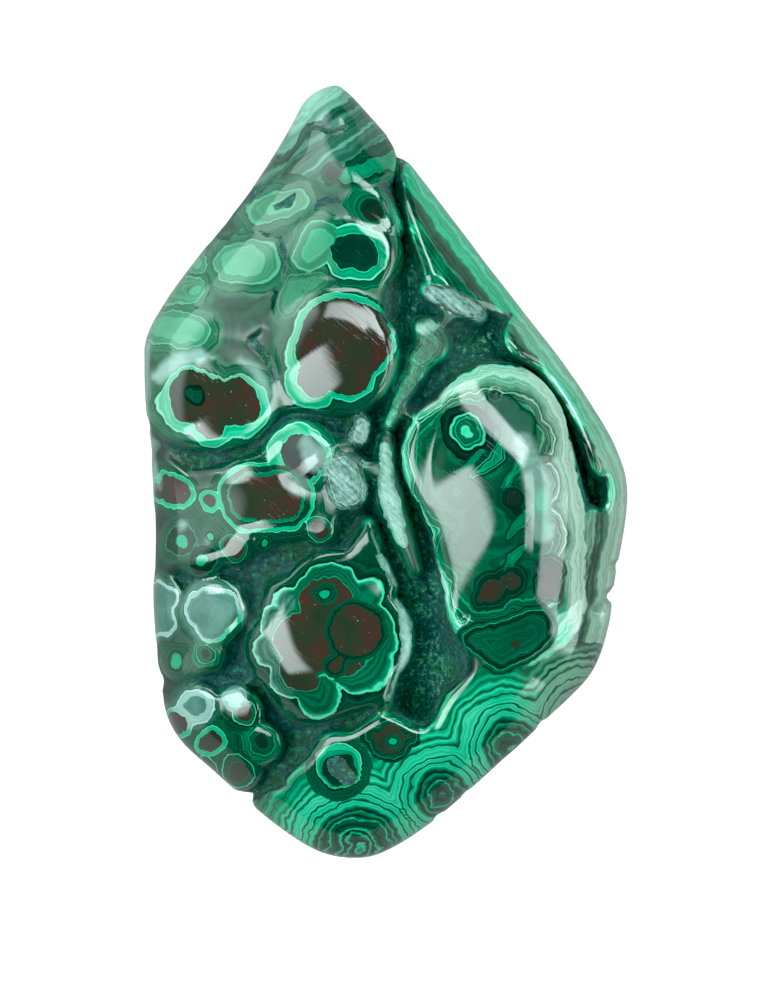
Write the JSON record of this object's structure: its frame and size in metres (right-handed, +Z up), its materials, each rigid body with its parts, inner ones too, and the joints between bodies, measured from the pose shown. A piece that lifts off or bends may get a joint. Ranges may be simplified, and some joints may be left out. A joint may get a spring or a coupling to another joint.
{
  "type": "polished malachite freeform",
  "caption": "Polished pebble of banded green malachite with ringed nodules, deep dark clefts and a pointed end, lying on a small flat face.",
  "frame": {"origin": "bottom centre of the bounding box, in the flat ground face that the stone rests on", "axes": "+Y along the stone's length towards its pointed end, +Z up out of the show face, +X to the right seen from above with the point away from the viewer"},
  "size_m": [0.0482, 0.0771, 0.0277],
  "materials": {
    "polished_malachite": "polished smooth on the nodules, with concentric light and dark green bands; rough and near black in the clefts"
  },
  "bodies": {
    "root": {"malachite": "polished_malachite"}
  },
  "joints": []
}
